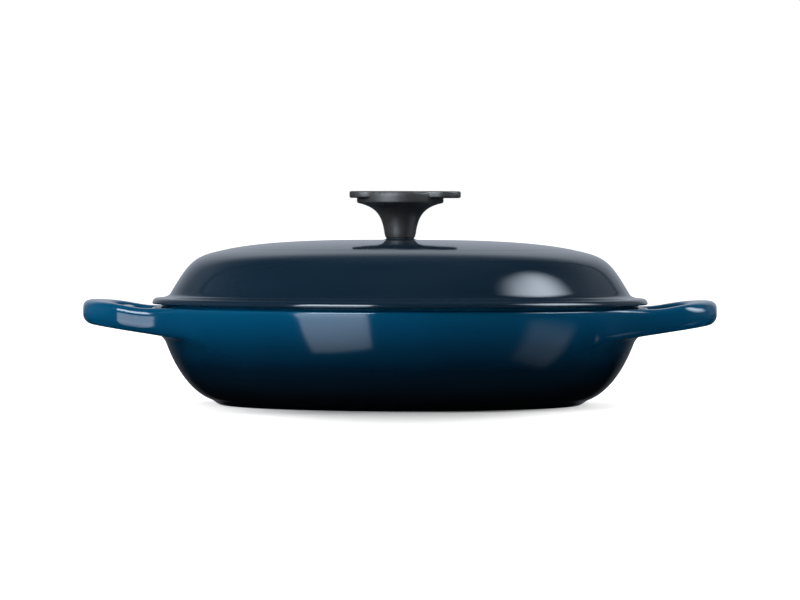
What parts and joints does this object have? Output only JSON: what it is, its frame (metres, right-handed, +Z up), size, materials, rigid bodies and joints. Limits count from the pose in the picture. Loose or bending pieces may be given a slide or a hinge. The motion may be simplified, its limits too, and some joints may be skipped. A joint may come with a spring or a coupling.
{
  "type": "braiser",
  "caption": "Shallow round enamelled cast-iron pan with two loop handles and a domed lid that lifts off by a black knob.",
  "frame": {"origin": "on the surface the pan stands on, at the centre of the pan", "axes": "+X through the right-hand handle, +Y away from the viewer of the picture, +Z up through the knob"},
  "size_m": [0.34, 0.2662, 0.1148],
  "materials": {
    "pan_enamel": "gloss vitreous enamel, deep teal blue",
    "lid_enamel": "gloss vitreous enamel, dark blue",
    "knob_black": "satin black phenolic",
    "insert_brass": "turned",
    "gasket_rubber": "matte",
    "fastener_steel": "stainless"
  },
  "bodies": {
    "pan": {"pan_body": "pan_enamel"},
    "lid": {"lid": "lid_enamel", "knob": "knob_black", "knob_insert": "insert_brass", "knob_gasket": "gasket_rubber", "screw_washer": "fastener_steel", "knob_screw": "fastener_steel"}
  },
  "joints": [
    {"name": "lid_lift", "type": "slide", "parent": "pan", "child": "lid", "axis": [0, 0, 1], "range_m": [0, 0.15]}
  ]
}
